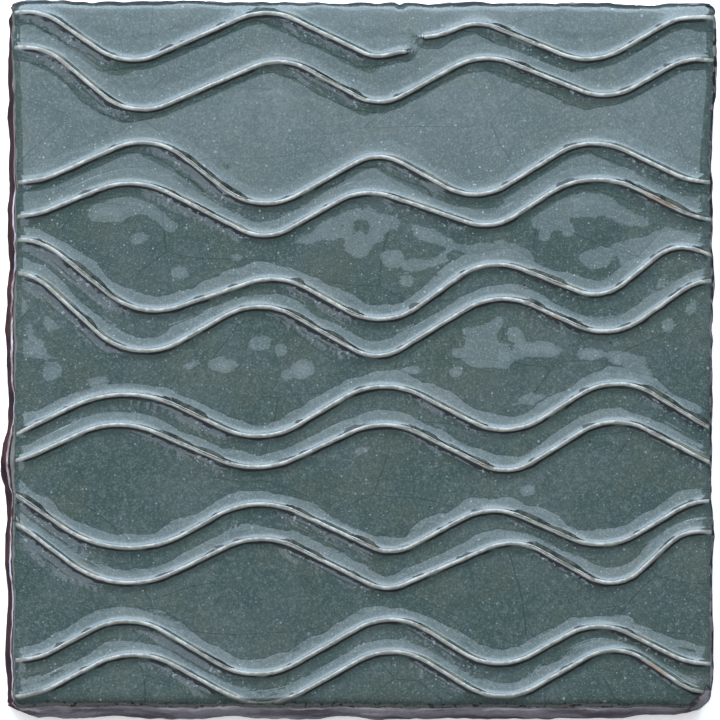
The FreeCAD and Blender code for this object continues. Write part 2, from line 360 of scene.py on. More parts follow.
def chip_depth(x, y):
    """How deep the chips bite at each point, in mm."""
    total = np.zeros_like(x)
    for cx, cy, size in CHIPS:
        total += 0.8 * size * np.exp(-((x - cx) ** 2 + (y - cy) ** 2) / (0.5 * size ** 2))
    return total


print(len(CHIPS), "chips")

# %% Put every point of the grid in its place
def rounded_corner(x, y):
    """Pulls a square grid's corners onto their arcs, each with its own radius."""
    for name, radius in CORNER_RADII.items():
        side_x = -1 if "left" in name else 1
        side_y = -1 if "bottom" in name else 1
        a = (side_x * x - (HALF_W - radius)) / radius
        b = (side_y * y - (HALF_H - radius)) / radius
        inside = (a > 0) & (b > 0)
        round_a = a * np.sqrt(np.clip(1 - b ** 2 / 2, 0, 1))
        round_b = b * np.sqrt(np.clip(1 - a ** 2 / 2, 0, 1))
        x = np.where(inside, side_x * (HALF_W - radius + radius * round_a), x)
        y = np.where(inside, side_y * (HALF_H - radius + radius * round_b), y)
    return x, y


def rim_gap(x, y):
    """Distance from the face's rounded outline, before it is leaned, in mm."""
    across = HALF_W - np.abs(x)
    up = HALF_H - np.abs(y)
    radius = 2.0
    corner = radius - np.hypot(np.clip(radius - across, 0, None), np.clip(radius - up, 0, None))
    return np.minimum(np.minimum(across, up), np.maximum(corner, 0) + (corner >= radius) * 1e3)


square_x = np.tile(column_x, (row_y.shape[0], 1))
flat_x, flat_y = rounded_corner(square_x, row_y)
gap_to_rim = np.clip(rim_gap(flat_x, flat_y), 0, None)
lean_x = flat_x + SHEAR * flat_y
print("widest grid cell", round(float(np.abs(np.diff(row_y, axis=0)).max()), 2), "mm")

# %% Heights over the face
gaps, leans, rise = [], [], np.zeros_like(lean_x)
for name in LINES:
    gap, heading = along_line(name, lean_x, flat_y)
    gaps.append(gap)
    leans.append(heading)
    rise += line_profile(gap, heading) ** 3
rise = np.cbrt(rise)
nearest = np.argmin(np.abs(np.array(gaps)), axis=0)
line_gap = np.take_along_axis(np.array(gaps), nearest[None], axis=0)[0]
line_lean = np.take_along_axis(np.array(leans), nearest[None], axis=0)[0]
flat_points = np.stack((lean_x, flat_y, np.zeros_like(lean_x)), axis=-1).reshape(-1, 3)
open_face = np.clip(np.abs(line_gap) / FOOT_REACH, 0.25, 1)
uneven = 0.040 * rippled(flat_points, 16.0, 1) + 0.012 * rippled(flat_points, 6.5, 2)
uneven = uneven.reshape(lean_x.shape)
belly = np.interp(flat_y, (8, 33, 58, 76), (0.0, 0.20, -0.05, -0.05))
crest_nicks = 0.13 * rippled(flat_points, 5.0, 4).reshape(lean_x.shape)
face_z = THICKNESS + rise * (1 + crest_nicks)

# The slope that the places ask for, summed down each column into a height that is 0 at every line
strayed_x = lean_x + 0.9 * rippled(flat_points, 2.6, 41).reshape(lean_x.shape)
strayed_y = flat_y + 0.7 * rippled(flat_points, 2.2, 43).reshape(lean_x.shape)
back_place = inside_any(TIPPED_BACK, strayed_x, strayed_y)
back_place = np.minimum(back_place, -inside_any(LEVEL, strayed_x, strayed_y))
forward_place = inside_any(TIPPED_FORWARD, strayed_x, strayed_y)
mirror_slope = 0.018 - 0.58 * MM * flat_y
slope_up = (mirror_slope + 0.045) * soft_step(back_place, -0.20, 0.20)
slope_up += (mirror_slope - 0.030) * soft_step(forward_place, -0.20, 0.20)
steps = -0.5 * (slope_up[1:] + slope_up[:-1]) * np.diff(row_y, axis=0)
tipped = np.concatenate((np.zeros((1, row_y.shape[1])), np.cumsum(steps, axis=0)))
line_rows = np.array([line[0] for line in heights])[::-1]
for i in range(row_y.shape[1]):
    at_lines = np.interp(line_rows[:, i], row_y[:, i], tipped[:, i])
    tipped[:, i] -= np.interp(row_y[:, i], line_rows[:, i], at_lines)
tipped_near = np.maximum(np.exp(-(back_place / 0.8) ** 2), np.exp(-(forward_place / 0.8) ** 2))
print("tipped places stand", round(float(tipped.min()), 2), "to", round(float(tipped.max()), 2), "mm")
face_z += open_face * (uneven + tipped) + belly

# %% Roll the rim over and let the ends of the lines sink into it
fade_start = np.interp(lean_x, (60, 70), (0.15, 1.3))
fade_width = np.interp(lean_x, (-70, -60, 60, 70), (4.5, 1.3, 1.3, 1.9))
fade = np.clip((gap_to_rim - fade_start) / fade_width, 0, 1)
face_z = THICKNESS + (face_z - THICKNESS) * (0.25 + 0.75 * fade * fade * (3 - 2 * fade))
roll_width = ROLL_WIDTH * (1 + 0.30 * rippled(flat_points, 5.0, 31).reshape(lean_x.shape))
out = np.clip(1 - gap_to_rim / roll_width, 0, 1)
face_z -= ROLL_DEPTH * out ** 2 + BROW_DEPTH * out ** np.where(flat_y > HALF_H - 3, 24, 10)
face_z -= SAG_DEPTH * np.clip(1 - gap_to_rim / SAG_WIDTH, 0, 1) ** 2
face_z -= chip_depth(lean_x, flat_y)
print("face from", round(float(face_z.min()), 2), "to", round(float(face_z.max()), 2), "mm")

# %% Which way is out, at every point near the rim
out_x = np.clip((np.abs(flat_x) - (HALF_W - 6)) / 6, 0, 1) ** 2 * np.sign(flat_x)
out_y = np.clip((np.abs(flat_y) - (HALF_H - 6)) / 6, 0, 1) ** 2 * np.sign(flat_y)
stray_x = wander(flat_points, 11).reshape(lean_x.shape)
stray_y = wander(flat_points, 21).reshape(lean_x.shape)
bite = 0.5 * chip_depth(lean_x, flat_y)
lump = np.exp(-((flat_x - HALF_W) ** 2 + (flat_y + HALF_H) ** 2) / 5.0 ** 2)
upper_left = np.interp(flat_y, (40, 66), (0.0, 0.60)) * (flat_x < 0)
upper_right = np.interp(flat_y, (45, 68), (0.0, 0.9)) * (flat_x > 0)
place_x = lean_x + out_x * (stray_x + upper_left + upper_right - bite - 0.5 * lump)
raised = np.interp(flat_x, (-70, -40, 10, 30, 68, 75), (0.0, 0.30, 0.35, 0.55, 0.65, 1.1)) * (flat_y > 0)
place_y = flat_y + out_y * (stray_y + raised - bite - 0.2 * lump)
face_z -= 1.6 * np.exp(-((flat_x - HALF_W) ** 2 + (flat_y + HALF_H) ** 2) / 3.4 ** 2)
print("the outline strays by up to", round(float(np.abs(place_y - flat_y).max()), 2), "mm up or down")

# %% [markdown]
# ## From grid to tile
# The grid is one bmesh operator, and its points are moved to the places worked out above.
# Then the open border is extruded down in rings for the cut sides, the last ring is filled
# for the back, and the back is sliced by planes and inset to press in its keying grooves.
# Swept lines joined to a block by booleans would give the same plan, but with slivers along
# every line, where the melted glaze has to flow smoothly.

# %% Make the grid and move its points
bm = bmesh.new()
ROW_COUNT = row_y.shape[0]
COLUMN_COUNT = row_y.shape[1]
bmesh.ops.create_grid(bm, x_segments=COLUMN_COUNT - 1, y_segments=ROW_COUNT - 1, size=1)
near_layer = bm.verts.layers.float.new("line_near")
side_layer = bm.verts.layers.float.new("line_side")
lean_layer = bm.verts.layers.float.new("line_lean")
rim_layer = bm.verts.layers.float.new("rim_gap")
tipped_layer = bm.verts.layers.float.new("tipped")
home_layer = bm.verts.layers.float_vector.new("home")
for vert in bm.verts:
    column = round((vert.co.x + 1) / 2 * (COLUMN_COUNT - 1))
    row = round((vert.co.y + 1) / 2 * (ROW_COUNT - 1))
    vert.co = (place_x[row, column], place_y[row, column], face_z[row, column])
    vert[near_layer] = abs(line_gap[row, column])
    vert[side_layer] = max(-1.0, min(1.0, line_gap[row, column] / 0.25))
    vert[lean_layer] = line_lean[row, column]
    vert[rim_layer] = gap_to_rim[row, column]
    vert[tipped_layer] = tipped_near[row, column]
    vert[home_layer] = (flat_x[row, column], flat_y[row, column], 0)
print(len(bm.verts), "points in the grid")

# %% Draw the cut sides down in rings
# Depth of each ring below the rim's own height, as a share of the way to the back
RINGS = (0.030, 0.065, 0.105, 0.150, 0.215, 0.300, 0.400, 0.510, 0.620, 0.730, 0.830, 0.910, 0.965, 1.0)
BACK_ROUND = 0.6
# Each bulge of the left side is (above the middle, half length, how far it stands out)
LEFT_BULGES = [
    (34.0, 9.0, 0.55), (5.0, 12.0, 1.05), (-22.0, 6.5, 2.0), (-42.0, 8.0, 0.75), (-60.0, 8.0, 0.55),
]
BOTTOM_BULGE = 1.15


def side_bulge(home, share):
    """How far a cut side stands out from the rim at this depth, in mm."""
    flare = (SIDE_FLARE if abs(home.x) > HALF_W - 1 else END_FLARE) * (1 - math.exp(-4.0 * share)) * 1.02
    point = Vector((home.x, home.y, THICKNESS * share))
    lumps = 0.42 * noise.noise(point / 7.0) + 0.26 * noise.noise(point / 2.6)
    notch = -0.22 * math.exp(-((share - 0.065) / 0.035) ** 2)
    bulge = 0.0
    if home.x < -HALF_W + 1:
        for middle, half, height in LEFT_BULGES:
            bulge += (height - 0.2) * math.exp(-((home.y - middle) / half) ** 4)
    if home.y < -HALF_H + 1:
        bulge = BOTTOM_BULGE * (1 + 0.5 * noise.noise(Vector((home.x / 11.0, 3.3, 0))))
    bulge *= math.sin(math.pi * min(share * 1.15, 1) ** 0.8) ** 0.7 if share < 0.87 else 0.0
    back = max(0.0, 1 - (1 - share) * THICKNESS / BACK_ROUND)
    ease = BACK_ROUND * (1 - math.sqrt(1 - back * back))
    corner = math.exp(-((home.x - HALF_W) ** 2 + (home.y + HALF_H) ** 2) / 11.0 ** 2)
    if home.x < -HALF_W + 1 and home.y > 40:
        flare -= 0.75 * min(1, (home.y - 40) / 26) * min(1, share * 3)
    return flare * (1 - corner) + lumps * min(1, share * 6) + notch + bulge * (1 - corner) - ease


def outward(home):
    """The level direction that points out of the rim at this point."""
    radius = 2.2
    dx = max(abs(home.x) - (HALF_W - radius), 0) * (1 if home.x > 0 else -1)
    dy = max(abs(home.y) - (HALF_H - radius), 0) * (1 if home.y > 0 else -1)
    return Vector((dx, dy, 0)).normalized()


border = [edge for edge in bm.edges if edge.is_boundary]
start_layer = bm.verts.layers.float_vector.new("start")
for edge in border:
    for vert in edge.verts:
        vert[start_layer] = vert.co
for share in RINGS:
    made = bmesh.ops.extrude_edge_only(bm, edges=border)["geom"]
    border = [item for item in made if isinstance(item, bmesh.types.BMEdge) and item.is_boundary]
    for vert in {v for edge in border for v in edge.verts}:
        start = vert[start_layer]
        home = vert[home_layer]
        direction = outward(home)
        vert.co = start + direction * side_bulge(home, share)
        vert.co.z = start.z * (1 - share)
        vert[rim_layer] = -(start.z - vert.co.z)
print(len(bm.verts), "points with the sides")

# %% Clip the bottom left corner towards the back
CLIP_ALONG, CLIP_UP, CLIP_HEIGHT = 7.0, 3.0, 10.0
back_corner = Vector((-HALF_W - SIDE_FLARE - LEAN / 2, -HALF_H - END_FLARE, 0))
clip_a = back_corner + Vector((CLIP_ALONG, 0, 0))
clip_b = back_corner + Vector((0, CLIP_UP, 0))
clip_c = back_corner + Vector((0.8, 0.8, CLIP_HEIGHT))
clip_normal = (clip_b - clip_a).cross(clip_c - clip_a).normalized()
if clip_normal.dot(back_corner - clip_a) < 0:
    clip_normal.negate()
level = Vector((clip_normal.x, clip_normal.y, 0))
clipped = 0
for vert in bm.verts:
    outside = (vert.co - clip_a).dot(clip_normal)
    if outside > 0 and vert[rim_layer] < 0:
        vert.co -= level * (outside / level.length_squared)
        clipped += 1
print(clipped, "points pulled back to the clipped corner")

# %% Close the back and press in its keying grooves
GROOVE_COUNT = 6
GROOVE_PITCH = 22.0
GROOVE_MOUTH = 6.0
GROOVE_DEPTH = 1.0
GROOVE_MARGIN = 16.0
reach = HALF_W - GROOVE_MARGIN
bmesh.ops.contextual_create(bm, geom=border)
back_faces = [face for face in bm.faces if len(face.verts) > 4]
for face in back_faces:
    for vert in face.verts:
        vert.co.z = 0
cuts = [((side * reach, 0, 0), (1, 0, 0)) for side in (-1, 1)]
for i in range(GROOVE_COUNT):
    middle = (i - (GROOVE_COUNT - 1) / 2) * GROOVE_PITCH
    cuts += [((0, middle + side * GROOVE_MOUTH / 2, 0), (0, 1, 0)) for side in (-1, 1)]
for point, normal in cuts:
    faces = [face for face in bm.faces if all(abs(v.co.z) < 1e-6 for v in face.verts)]
    geometry = faces + list({e for f in faces for e in f.edges}) + list({v for f in faces for v in f.verts})
    bmesh.ops.bisect_plane(bm, geom=geometry, dist=1e-5, plane_co=point, plane_no=normal)
grooves = []
for face in bm.faces:
    if all(abs(v.co.z) < 1e-6 for v in face.verts):
        centre = face.calc_center_bounds()
        off = (centre.y + GROOVE_PITCH * GROOVE_COUNT / 2) % GROOVE_PITCH - GROOVE_PITCH / 2
        if abs(centre.x) < reach and abs(off) < 0.5:
            grooves.append(face)
bmesh.ops.recalc_face_normals(bm, faces=bm.faces)
bmesh.ops.inset_individual(bm, faces=grooves, thickness=1.0, depth=-GROOVE_DEPTH)
for vert in bm.verts:
    if vert.co.z < 1.5 and vert[rim_layer] >= 0:
        vert[rim_layer] = -THICKNESS
print(len(grooves), "grooves pressed in")

# %% Turn the bmesh into the tile
bmesh.ops.triangulate(bm, faces=[face for face in bm.faces if len(face.verts) > 4])
bmesh.ops.recalc_face_normals(bm, faces=bm.faces)
bmesh.ops.scale(bm, vec=(MM, MM, MM), verts=bm.verts)
mesh = bpy.data.meshes.new("glazed_tile_body")
triangles = sum(len(face.verts) - 2 for face in bm.faces)
open_edges = sum(1 for edge in bm.edges if not edge.is_manifold)
for face in bm.faces:
    face.smooth = face.normal.z > -0.5
bm.to_mesh(mesh)
bm.free()
tile = bpy.data.objects.new("glazed_tile_body", mesh)
bpy.context.scene.collection.objects.link(tile)
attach(tile, "root")
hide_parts("glazed_tile")
print(triangles, "triangles,", open_edges, "open edges")

# %% [markdown]
# ## The glaze and the clay
# Glaze and clay were fired as one, so one material covers both. Masks tell it where the
# glaze is thin over a crest, where it is pooled, where it stops and where the clay is bare.
# They could be painted by hand, but masks made from the distances kept on the mesh follow
# every line by themselves.

# %% Small helpers that add nodes
material = bpy.data.materials.new("crackle_glaze_over_clay")
material.use_nodes = True
tree = material.node_tree
shader = tree.nodes["Principled BSDF"]


def add(kind, inputs=None, **settings):
    """A new node with its settings made and its inputs filled or linked."""
    made = tree.nodes.new("ShaderNode" + kind)
    for name, value in settings.items():
        setattr(made, name, value)
    for key, value in (inputs or {}).items():
        if isinstance(value, bpy.types.NodeSocket):
            tree.links.new(value, made.inputs[key])
        else:
            made.inputs[key].default_value = value
    return made


def math_of(operation, first, *others):
    """One Math node after another, each taking up the next value."""
    for other in others:
        first = add("Math", {0: first, 1: other}, operation=operation).outputs[0]
    return first


def sum_of(*values):
    return math_of("ADD", *values)


def less(first, second):
    return math_of("SUBTRACT", first, second)


def times(*values):
    return math_of("MULTIPLY", *values)


def larger(*values):
    return math_of("MAXIMUM", *values)


def rise_over(value, low, high, to=1.0):
    """0 below low and `to` above high, with a soft step between; low may be the larger."""
    step = add("MapRange", {0: value, 1: low, 2: high, 3: 0.0, 4: to}, interpolation_type="SMOOTHSTEP")
    return step.outputs[0]


def hump(value, low, low_full, high_full, high):
    """1 between the two middle numbers and 0 outside the outer ones."""
    return times(rise_over(value, low, low_full), rise_over(value, high, high_full))


def blend(share, first, second):
    return add("Mix", {0: share, 6: first, 7: second}, data_type="RGBA").outputs[2]


def attribute(name):
    return add("Attribute", attribute_name=name).outputs["Fac"]


print("the shader is", shader.name)

# %% Noise of a size in mm
where = add("TexCoord").outputs["Object"]


def cloud(size, detail, seed, roughness=0.5, stretch=(1, 1, 1)):
    """Noise with humps of this size in mm, between 0 and 1."""
    shift = (seed, seed * 0.7, seed * 0.3)
    placed = add("Mapping", {"Vector": where, "Location": shift, "Scale": stretch})
    made = add("TexNoise", {"Vector": placed.outputs[0], "Scale": 1 / (size * MM)})
    made.inputs["Detail"].default_value = detail
    made.inputs["Roughness"].default_value = roughness
    return made.outputs["Fac"]


def patches(low, high, size, detail, seed, roughness=0.5):
    """1 where such a noise is past high and 0 where it is short of low."""
    return rise_over(cloud(size, detail, seed, roughness), low, high)


def strays(amount, size, detail, seed, roughness=0.5):
    """Noise that strays by up to half this amount to each side of 0."""
    return times(less(cloud(size, detail, seed, roughness), 0.5), amount)


# %% Where a point lies on the tile, in mm
near_line = attribute("line_near")
above = rise_over(attribute("line_side"), -0.6, 0.6)
below = less(1.0, above)
heading = attribute("line_lean")
falling = rise_over(heading, -0.12, -0.42)
rising = rise_over(heading, 0.10, 0.34)
rim = attribute("rim_gap")
place = add("SeparateXYZ", {0: where})
x_mm = times(place.outputs[0], 1 / MM)
y_mm = times(place.outputs[1], 1 / MM)
print("the masks start with", len(tree.nodes), "nodes")

# %% [markdown]
# ### Colour of the glaze
# Pooled glaze is a dark green-teal. It isn't even: it drifts over centimetres, and it is
# curdled and grainy close up. Each layer of noise stands for one of these.

# %% Where the glaze that banked up beside a line or the rim ends: a ragged lip
LIP_REACH = 2.45
RIM_LIP_REACH = 1.12
stray = sum_of(strays(4.2, 9.0, 1.0, 8.8), strays(1.0, 1.7, 3.0, 9.3))
stray = sum_of(stray, times(above, 0.50), times(below, heading, -2.2))
lip = less(sum_of(LIP_REACH, stray), near_line)
rim_reach = sum_of(RIM_LIP_REACH, rise_over(x_mm, 60, 70, 0.45))
rim_lip = less(sum_of(rim_reach, strays(1.68, 5.0, 2.0, 18.8)), rim)
print("the lip reaches about", LIP_REACH, "mm from a line")

# %% Clouded body colour
DEEP_GREEN = (0.047, 0.069, 0.061, 1)
GREY_GREEN = (0.068, 0.088, 0.080, 1)
TEAL = (0.042, 0.072, 0.067, 1)
CURD_PALE = (0.120, 0.145, 0.135, 1)
CURD_DARK = (0.042, 0.068, 0.064, 1)
DRIFT_OLIVE = (0.066, 0.080, 0.060, 1)
BLOTCH_DARK = (0.034, 0.056, 0.052, 1)
GRAIN_PALE = (0.135, 0.165, 0.155, 1)
GRAIN_DARK = (0.028, 0.048, 0.045, 1)
POOLED_GLAZE_AND_SHADE_DARK = (0.024, 0.038, 0.037, 1)
glaze = blend(patches(0.34, 0.66, 14.0, 2.0, 0.3), DEEP_GREEN, GREY_GREEN)
mottle = cloud(3.2, 2.0, 1.7)
glaze = blend(rise_over(mottle, 0.45, 0.75, 0.25), glaze, TEAL)
curdled = cloud(1.2, 2.0, 15.5, 0.65)
glaze = blend(rise_over(curdled, 0.50, 0.72, 0.42), glaze, CURD_PALE)
glaze = blend(rise_over(curdled, 0.48, 0.30, 0.42), glaze, CURD_DARK)
glaze = blend(times(patches(0.50, 0.62, 10.0, 2.0, 66.6), 0.35), glaze, DRIFT_OLIVE)
glaze = blend(times(patches(0.62, 0.68, 6.5, 1.0, 95.5), 0.40), glaze, BLOTCH_DARK)
grain = cloud(0.42, 1.0, 21.5, 0.6)
glaze = blend(rise_over(grain, 0.52, 0.72, 0.50), glaze, GRAIN_PALE)
glaze = blend(rise_over(grain, 0.48, 0.28, 0.50), glaze, GRAIN_DARK)
# Darker below each line: partly pooled glaze, partly painted shade.
glaze = blend(times(hump(near_line, 0.6, 0.9, 1.5, 2.8), below, 0.42), glaze, POOLED_GLAZE_AND_SHADE_DARK)
print("with the body colour", len(tree.nodes), "nodes")

# %% [markdown]
# ### Crackle, bubbles and pinholes
# The glaze shrank more than the clay, so it cracked in long curved lines that meet in T's.
# Voronoi cells give such a net when their grid is warped first. Bubbles that came up
# through the melt left pale specks, most of them near the top and bottom edges.

# %% Crackle
CRACKS_PER_METRE = 58.0
CRACK_DARK = (0.028, 0.042, 0.042, 1)
warp = add("TexNoise", {"Vector": where, "Scale": 34.0, "Detail": 0.5})
bent = add("VectorMath", {0: warp.outputs["Color"], "Scale": 0.010}, operation="SCALE")
warped = add("VectorMath", {0: where, 1: bent.outputs[0]}, operation="ADD")
slanted = add("Mapping", {"Vector": warped.outputs[0], "Rotation": (0, 0, 0.9), "Scale": (0.62, 1.15, 1.0)})
cells = add("TexVoronoi", {"Vector": slanted.outputs[0], "Scale": CRACKS_PER_METRE},
            feature="DISTANCE_TO_EDGE", voronoi_dimensions="2D")
on_open = rise_over(near_line, 0.9, 1.6)
crack = rise_over(cells.outputs["Distance"], 0.0090, 0.0035)
crack = times(crack, patches(0.38, 0.50, 24.0, 1.0, 9.1), on_open)
glaze = blend(times(crack, 0.62), glaze, CRACK_DARK)
print("with the crackle", len(tree.nodes), "nodes")

# %% The dark line along the lip is painted shade, stronger below the lines at the top of the face
LIP_SHADE_DARK = (0.020, 0.032, 0.032, 1)
lip_shows = sum_of(times(below, rise_over(y_mm, 30, 36, 1.8)), times(above, rise_over(y_mm, 34, 30)))
lip_shade_line = times(hump(lip, -0.22, -0.10, 0.04, 0.14), lip_shows)
glaze = blend(times(lip_shade_line, 0.40), glaze, LIP_SHADE_DARK)
print("with the lip", len(tree.nodes), "nodes")

# %% Fine bubbles
FINE_SPACING = 0.75
BUBBLE_PALE = (0.44, 0.50, 0.50, 1)
edge_rich = rise_over(rim, 26.0, 4.0)
specks = add("TexVoronoi", {"Vector": where, "Scale": 1 / (FINE_SPACING * MM)}, feature="F1")
pick = add("SeparateColor", {0: specks.outputs["Color"]})
chance = sum_of(times(edge_rich, 0.45), times(cloud(18.0, 1.0, 3.3), 0.90))
size = times(math_of("POWER", pick.outputs[1], 6.0), 0.18)
bubble = rise_over(specks.outputs["Distance"], sum_of(size, 0.19), sum_of(size, 0.04))
bubble = times(bubble, rise_over(less(chance, pick.outputs[0]), 0.0, 0.02), on_open)
paleness = sum_of(times(math_of("POWER", pick.outputs[2], 2.5), 0.48), 0.07)
glaze = blend(times(bubble, paleness), glaze, BUBBLE_PALE)
print("with the fine bubbles", len(tree.nodes), "nodes")

# %% Large bubbles and pinholes
LARGE_SPACING = 2.3
PIT_DARK = (0.012, 0.014, 0.014, 1)
large = add("TexVoronoi", {"Vector": where, "Scale": 1 / (LARGE_SPACING * MM)}, feature="F1")
large_pick = add("SeparateColor", {0: large.outputs["Color"]})
large_chance = sum_of(times(edge_rich, 0.22), times(cloud(14.0, 1.0, 97.3), 0.55))
size = times(large_pick.outputs[1], 0.07)
bubble = rise_over(large.outputs["Distance"], sum_of(size, 0.10), sum_of(size, 0.05))
bubble = times(bubble, rise_over(less(large_chance, large_pick.outputs[0]), 0.0, 0.02), on_open)
paleness = sum_of(times(large_pick.outputs[2], 0.25), 0.12)
glaze = blend(times(bubble, paleness), glaze, BUBBLE_PALE)
pit = times(rise_over(large.outputs["Distance"], 0.13, 0.08), rise_over(large_pick.outputs[0], 0.975, 0.98))
glaze = blend(times(pit, 0.8), glaze, PIT_DARK)
open_glaze = glaze
print("the open glaze takes", len(tree.nodes), "nodes")

# %% [markdown]
# ### Along the raised lines
# The glaze breaks to pale beige over the sharp crests and goes olive where it ran thin on
# the falling flanks. The black in the crease under each crest and a thin dark line above it
# are painted shade. Each of these is a band of the distance across the line, made ragged by
# noise and broken by patches, so all thirteen lines get it from the same few nodes.

# %% Olive flanks, and the ledge of thin glaze above a falling line
OLIVE = (0.165, 0.155, 0.115, 1)
LEDGE_DARK = (0.020, 0.028, 0.025, 1)
LEDGE_PALE = (0.080, 0.084, 0.066, 1)
LEDGE_EDGE = (0.010, 0.013, 0.013, 1)
at_line = rise_over(near_line, 1.9, 1.5)
across_line = sum_of(times(near_line, attribute("line_side")), strays(0.30, 2.2, 2.0, 2.2))
olive = times(hump(across_line, 0.20, 0.30, 0.62, 0.95), patches(0.46, 0.56, 7.0, 2.0, 4.1))
glaze = blend(times(olive, at_line, falling, 0.9), glaze, OLIVE)
ledge_width = times(rise_over(cloud(11.0, 1.0, 31.4), 0.42, 0.64, 1.25), falling, above)
ledge_width = sum_of(ledge_width, strays(0.35, 1.9, 2.0, 33.1))
on_ledge = less(ledge_width, near_line)
ledge_tone = blend(patches(0.34, 0.66, 1.9, 2.0, 35.2), LEDGE_DARK, LEDGE_PALE)
glaze = blend(times(rise_over(on_ledge, -0.04, 0.08), above), glaze, ledge_tone)
glaze = blend(times(hump(on_ledge, -0.16, -0.05, 0.05, 0.16), above, 0.8), glaze, LEDGE_EDGE)
print("with the ledges", len(tree.nodes), "nodes")

# %% Pale crest, rusty here and there
SHADE_DARK = (0.160, 0.162, 0.143, 1)
SHADE_PALE = (0.250, 0.243, 0.210, 1)
CREST_LIT_DARK = (0.22, 0.22, 0.19, 1)
CREST_LIT_PALE = (0.40, 0.395, 0.345, 1)
RUST = (0.28, 0.19, 0.125, 1)
# The crest's own pale colour comes from the glaze breaking thin over it. Its middle and top are painted in a
# lighter lit tone and its lower side in the shade tone: painted light and painted shade.
shade_tone = blend(cloud(4.0, 2.0, 5.5), SHADE_DARK, SHADE_PALE)
crest_lit_tone = blend(patches(0.40, 0.62, 1.8, 2.0, 45.5, 0.6), CREST_LIT_DARK, CREST_LIT_PALE)
crest_tone = blend(hump(across_line, -0.30, -0.14, 0.15, 0.26), shade_tone, crest_lit_tone)
crest_tone = blend(times(patches(0.66, 0.72, 9.0, 2.0, 7.7), falling, 0.7), crest_tone, RUST)
crest = times(hump(across_line, -0.57, -0.47, 0.17, 0.28), at_line, rise_over(rim, 0.15, 0.6))
glaze = blend(crest, glaze, crest_tone)
print("with the crests", len(tree.nodes), "nodes")

# %% Black crease under the crest and a thin dark line above it, both painted shade
CREASE_SHADE_BLACK = (0.008, 0.010, 0.010, 1)
HAIRLINE_SHADE_DARK = (0.020, 0.026, 0.026, 1)
CREASE_END = -0.86
crease_reach = times(patches(0.42, 0.70, 4.0, 2.0, 8.3), -0.22)
crease_teeth = times(patches(0.48, 0.64, 1.8, 3.0, 83.7), falling, -0.38)
crease_end = sum_of(crease_reach, crease_teeth, CREASE_END)
crease = rise_over(across_line, less(crease_end, 0.08), crease_end)
crease = times(crease, rise_over(across_line, -0.47, -0.55), at_line, rise_over(rim, 1.2, 2.6))
crease = times(crease, sum_of(patches(0.30, 0.45, 6.0, 1.0, 12.5), 0.15))
glaze = blend(crease, glaze, CREASE_SHADE_BLACK)
# A thin dark line painted above the crest: painted shade.
shade_hairline = times(hump(across_line, 0.30, 0.37, 0.44, 0.52), patches(0.40, 0.55, 8.0, 1.0, 63.3))
glaze = blend(times(shade_hairline, at_line, 0.75), glaze, HAIRLINE_SHADE_DARK)
print("with the creases", len(tree.nodes), "nodes")

# %% Black lens-shaped marks above the crest on the rising flanks
LENS_MARK_BLACK = (0.010, 0.012, 0.012, 1)
LENS_MARK_MIDDLE = 0.50
lens = times(less(cloud(2.6, 1.0, 11.3, 0.5, (0.6, 1, 1)), 0.56), 3.4)
from_middle = math_of("ABSOLUTE", less(across_line, LENS_MARK_MIDDLE), 0.0)
lens_mark = rise_over(less(lens, from_middle), 0.0, 0.07)
lens_mark = times(lens_mark, sum_of(rising, 0.15), rise_over(across_line, 0.28, 0.36))
glaze = blend(times(lens_mark, at_line, 0.9), glaze, LENS_MARK_BLACK)
print("with the nicks", len(tree.nodes), "nodes")

# %% Dashes and sparkle below the falling flanks
DASH_BLACK = (0.006, 0.008, 0.008, 1)
SPARKLE_PALE = (0.40, 0.46, 0.47, 1)
DASH_MIDDLE = 1.05
dash_place = times(below, falling, patches(0.38, 0.48, 9.0, 1.0, 53.1))
from_dash = sum_of(strays(1.6, 2.2, 2.0, 17.1), less(near_line, DASH_MIDDLE))
dashes = times(hump(from_dash, -0.30, -0.20, 0.16, 0.26), dash_place, patches(0.46, 0.52, 1.3, 2.0, 13.1))
sparkle = times(hump(near_line, 0.75, 0.95, 2.1, 2.6), dash_place, patches(0.60, 0.66, 0.9, 2.0, 91.3))
glaze = blend(times(sparkle, 0.35), glaze, SPARKLE_PALE)
glaze = blend(dashes, glaze, DASH_BLACK)
line_glaze = glaze
print("with the lines", len(tree.nodes), "nodes")

# %% [markdown]
# ### Bare clay at the edges
# At the rim the glaze pulled back to a thin beige line. Below it a dark pitted seam marks
# where it stopped, and its black dots are painted shade in the small groove there. Below
# that a pale lavender line is a painted highlight. The left side is a run of maroon
# iron-rich slip, glossy and lumpy. The other sides are mauve-grey clay with dark streaks
# from the knife, and the pink on their raised streaks is a painted highlight. The clay could
# be a second mesh under the glaze, but the two never part on the real tile, so the distance
# from the rim tells one material where to change.

# %% Thin beige rim
RIM_BEIGE = (0.215, 0.200, 0.170, 1)
TOP_EDGE_DARK = (0.016, 0.020, 0.021, 1)
on_top = rise_over(y_mm, 73.8, 74.8)
on_right = rise_over(x_mm, 72.8, 74.2)
on_bottom = rise_over(y_mm, -73.8, -75.0)
rim_at = times(sum_of(rim, strays(1.1, 2.6, 3.0, 6.6)), sum_of(1.0, times(on_bottom, 0.5)))
thin_rim = times(hump(rim_at, -0.50, -0.30, 0.05, 0.28), rise_over(y_mm, 74.5, 73.5))
glaze = blend(times(thin_rim, sum_of(0.8, times(on_bottom, -0.35))), glaze, RIM_BEIGE)
top_edge = times(rise_over(y_mm, 72.5, 73.5), rise_over(rim_at, 0.30, 0.02))
glaze = blend(times(top_edge, 0.85), glaze, TOP_EDGE_DARK)
print("with the rim", len(tree.nodes), "nodes")

